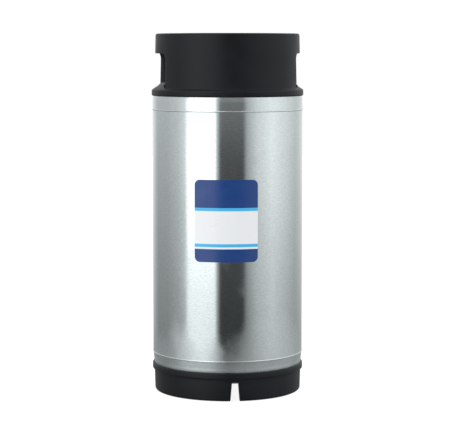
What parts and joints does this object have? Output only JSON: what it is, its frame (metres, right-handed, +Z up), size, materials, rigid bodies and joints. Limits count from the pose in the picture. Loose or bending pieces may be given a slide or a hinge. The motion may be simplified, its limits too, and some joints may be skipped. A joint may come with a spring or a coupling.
{
  "type": "beer keg",
  "caption": "Slim stainless drinks keg with a black rubber handle top with two hand windows, a slotted rubber foot, an oval hatch with a wire bail and relief valve, and two ball-lock posts.",
  "frame": {"origin": "centre of the foot ring on the floor", "axes": "+Z up along the keg's axis; the hand windows face -X and +X; the gas post is at -Y and the liquid post at +Y; -Y is the front"},
  "size_m": [0.2314, 0.2314, 0.546],
  "materials": {
    "brushed_shell": "drawn stainless sheet with a soft vertical sheen",
    "satin_steel": "satin stainless",
    "bright_steel": "turned stainless, bright",
    "spring_steel": "drawn spring wire",
    "black_rubber": "matte moulded rubber",
    "seal_rubber": "smooth seal rubber",
    "foot_plastic": "matte boot",
    "label_film": "plain printed film"
  },
  "bodies": {
    "tank": {"tank_shell": "brushed_shell", "top_head": "satin_steel", "bottom_head": "satin_steel", "hatch_collar": "satin_steel", "rubber_top": "black_rubber", "rubber_foot": "black_rubber", "contents_label": "label_film", "gas_bung": "bright_steel", "gas_post": "bright_steel", "gas_poppet_spring": "spring_steel", "gas_post_oring": "seal_rubber", "gas_dip_tube": "bright_steel", "gas_tube_oring": "seal_rubber", "liquid_bung": "bright_steel", "liquid_post": "bright_steel", "liquid_poppet_spring": "spring_steel", "liquid_post_oring": "seal_rubber", "liquid_dip_tube": "bright_steel", "liquid_tube_oring": "seal_rubber"},
    "lid": {"lid": "satin_steel", "lid_gasket": "seal_rubber", "lid_bracket": "satin_steel", "relief_body": "bright_steel", "relief_nut": "bright_steel", "relief_seal": "seal_rubber", "relief_cap": "bright_steel", "relief_spring": "spring_steel"},
    "bail": {"bail": "bright_steel", "bail_foot_gas_side": "foot_plastic", "bail_foot_liquid_side": "foot_plastic"},
    "relief_stem": {"relief_stem": "bright_steel", "relief_disc_seal": "seal_rubber"},
    "relief_ring": {"relief_ring": "bright_steel"},
    "gas_poppet": {"gas_poppet": "bright_steel", "gas_poppet_seal": "seal_rubber"},
    "liquid_poppet": {"liquid_poppet": "bright_steel", "liquid_poppet_seal": "seal_rubber"}
  },
  "joints": [
    {"name": "bail_lift", "type": "hinge", "parent": "lid", "child": "bail", "pos_m": [-0.008, 0, 0.499], "axis": [0, -1, 0], "range_deg": [0, 100]},
    {"name": "lid_drop", "type": "slide", "parent": "tank", "child": "lid", "axis": [0, 0, -1], "range_m": [0, 0.003]},
    {"name": "relief_lift", "type": "slide", "parent": "lid", "child": "relief_stem", "axis": [0, 0, 1], "range_m": [0, 0.003], "stiffness_N_per_m": 2000, "springref_m": -0.004, "deforming": ["relief_spring"]},
    {"name": "relief_ring_swing", "type": "hinge", "parent": "relief_stem", "child": "relief_ring", "pos_m": [0.02, 0, 0.5035], "axis": [0, -1, 0], "range_deg": [0, 150]},
    {"name": "gas_poppet_press", "type": "slide", "parent": "tank", "child": "gas_poppet", "axis": [0, 0, -1], "range_m": [0, 0.004], "stiffness_N_per_m": 800, "springref_m": -0.003, "deforming": ["gas_poppet_spring"]},
    {"name": "liquid_poppet_press", "type": "slide", "parent": "tank", "child": "liquid_poppet", "axis": [0, 0, -1], "range_m": [0, 0.004], "stiffness_N_per_m": 800, "springref_m": -0.003, "deforming": ["liquid_poppet_spring"]}
  ],
  "couplings": [
    {"joint": "bail_lift", "follows": "lid_drop", "rad_per_m": 581.78}
  ]
}
